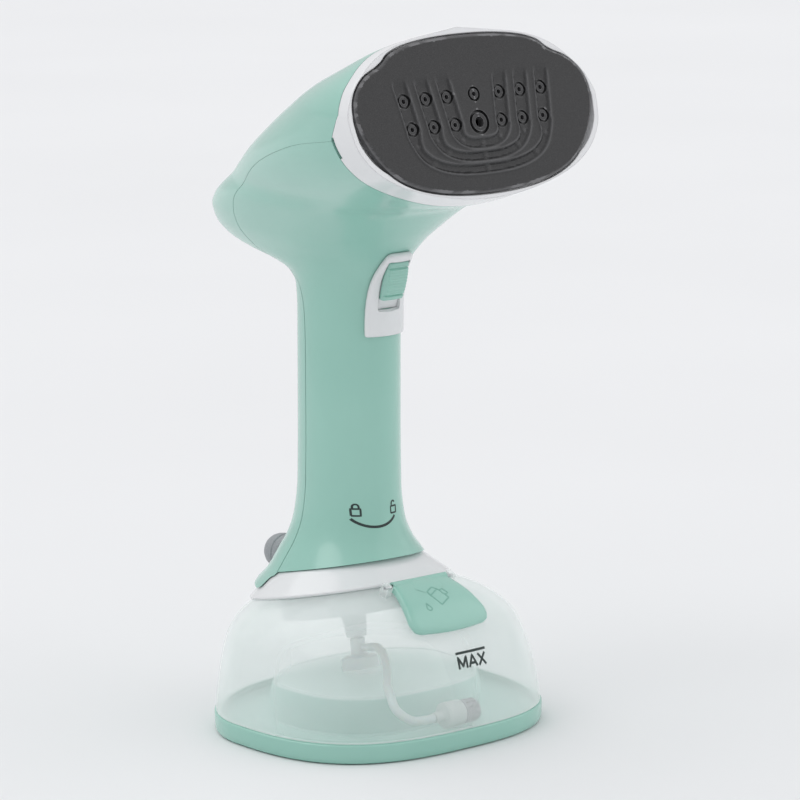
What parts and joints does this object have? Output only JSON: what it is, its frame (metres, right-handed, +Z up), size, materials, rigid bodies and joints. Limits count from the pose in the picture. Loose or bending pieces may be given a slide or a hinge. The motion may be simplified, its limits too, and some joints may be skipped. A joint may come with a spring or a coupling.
{
  "type": "garment steamer",
  "caption": "Handheld garment steamer: pistol-shaped body with a perforated steam plate, standing on a clear detachable water tank with a hinged filler cap.",
  "frame": {"origin": "underside of the base cap, straight below the point where the handle axis meets the collar's underside", "axes": "+Z up from the resting face, -Y the way the steam plate faces, X across the handle with X = 0 the plane of symmetry"},
  "size_m": [0.1352, 0.1687, 0.2905],
  "materials": {
    "mint_shell": "moulded mint-green ABS, satin gloss",
    "white_plastic": "moulded white ABS, glossy",
    "clear_tank": "clear moulded copolyester, polished",
    "charcoal_plate": "charcoal ceramic coating on die-cast aluminium, satin",
    "cast_aluminium": "as cast and milled",
    "stainless_steel": "drawn or turned stainless steel",
    "element_steel": "heat-tinted steel sheath",
    "copper_winding": "enamelled copper wire",
    "grey_gland": "moulded grey polymer, matt",
    "black_rubber": "moulded nitrile rubber",
    "silicone": "translucent silicone rubber",
    "clear_pipe": "milky polypropylene",
    "dark_nylon": "glass-filled nylon, matt",
    "filter_grey": "pale grey polypropylene shell",
    "circuit_board": "solder-masked glass-epoxy board"
  },
  "bodies": {
    "tank": {"base_cap": "mint_shell", "tank_floor": "clear_tank", "tank_shell": "clear_tank", "collar": "white_plastic", "cap_hinge_pin": "stainless_steel", "suction_column": "clear_pipe", "suction_elbow": "clear_pipe", "suction_hose": "silicone", "filter_weight": "filter_grey", "filter_screen": "grey_gland"},
    "seal": {"neck_seal": "black_rubber"},
    "handle": {"back_shell": "mint_shell", "front_shell": "mint_shell", "head_bezel": "white_plastic", "soleplate": "charcoal_plate", "plate_gasket": "silicone", "steam_chamber": "cast_aluminium", "chamber_cover": "cast_aluminium", "heating_element": "element_steel", "terminal_left": "stainless_steel", "terminal_right": "stainless_steel", "thermostat": "dark_nylon", "thermal_fuse": "silicone", "boiler_inlet": "cast_aluminium", "spigot": "white_plastic", "pump_body": "dark_nylon", "pump_coil": "copper_winding", "pump_mount_lower": "black_rubber", "pump_mount_upper": "black_rubber", "pump_spring": "stainless_steel", "inlet_hose": "silicone", "outlet_hose": "silicone", "circuit_board": "circuit_board", "micro_switch": "dark_nylon", "switch_plate": "white_plastic", "grip_screw_lower": "stainless_steel", "grip_screw_upper": "stainless_steel", "head_screw_left": "stainless_steel", "head_screw_right": "stainless_steel"},
    "cap": {"fill_cap": "mint_shell", "fill_seal": "silicone"},
    "switch": {"switch_slider": "mint_shell", "switch_carrier": "grey_gland"},
    "piston": {"pump_piston": "stainless_steel"},
    "swivel": {"cord_swivel": "grey_gland"}
  },
  "joints": [
    {"name": "tank_pull", "type": "slide", "parent": "tank", "child": "seal", "axis": [0, 0.2147, 0.9767], "range_m": [0, 0.03]},
    {"name": "tank_twist", "type": "hinge", "parent": "seal", "child": "handle", "pos_m": [0, 0, 0.054], "axis": [0, 0.2147, 0.9767], "range_deg": [0, 30]},
    {"name": "fill_cap_hinge", "type": "hinge", "parent": "tank", "child": "cap", "pos_m": [0, -0.0442, 0.0636], "axis": [-1, 0, 0], "range_deg": [0, 75]},
    {"name": "switch_slide", "type": "slide", "parent": "handle", "child": "switch", "axis": [0, 0.2588, -0.9659], "range_m": [0, 0.0045]},
    {"name": "pump_stroke", "type": "slide", "parent": "handle", "child": "piston", "axis": [0, 0, 1], "range_m": [-0.0015, 0.0015], "stiffness_N_per_m": 400, "deforming": ["pump_spring"]},
    {"name": "cord_swivel", "type": "hinge", "parent": "handle", "child": "swivel", "pos_m": [0, 0.0364, 0.06], "axis": [0, 1, 0], "continuous": true}
  ]
}
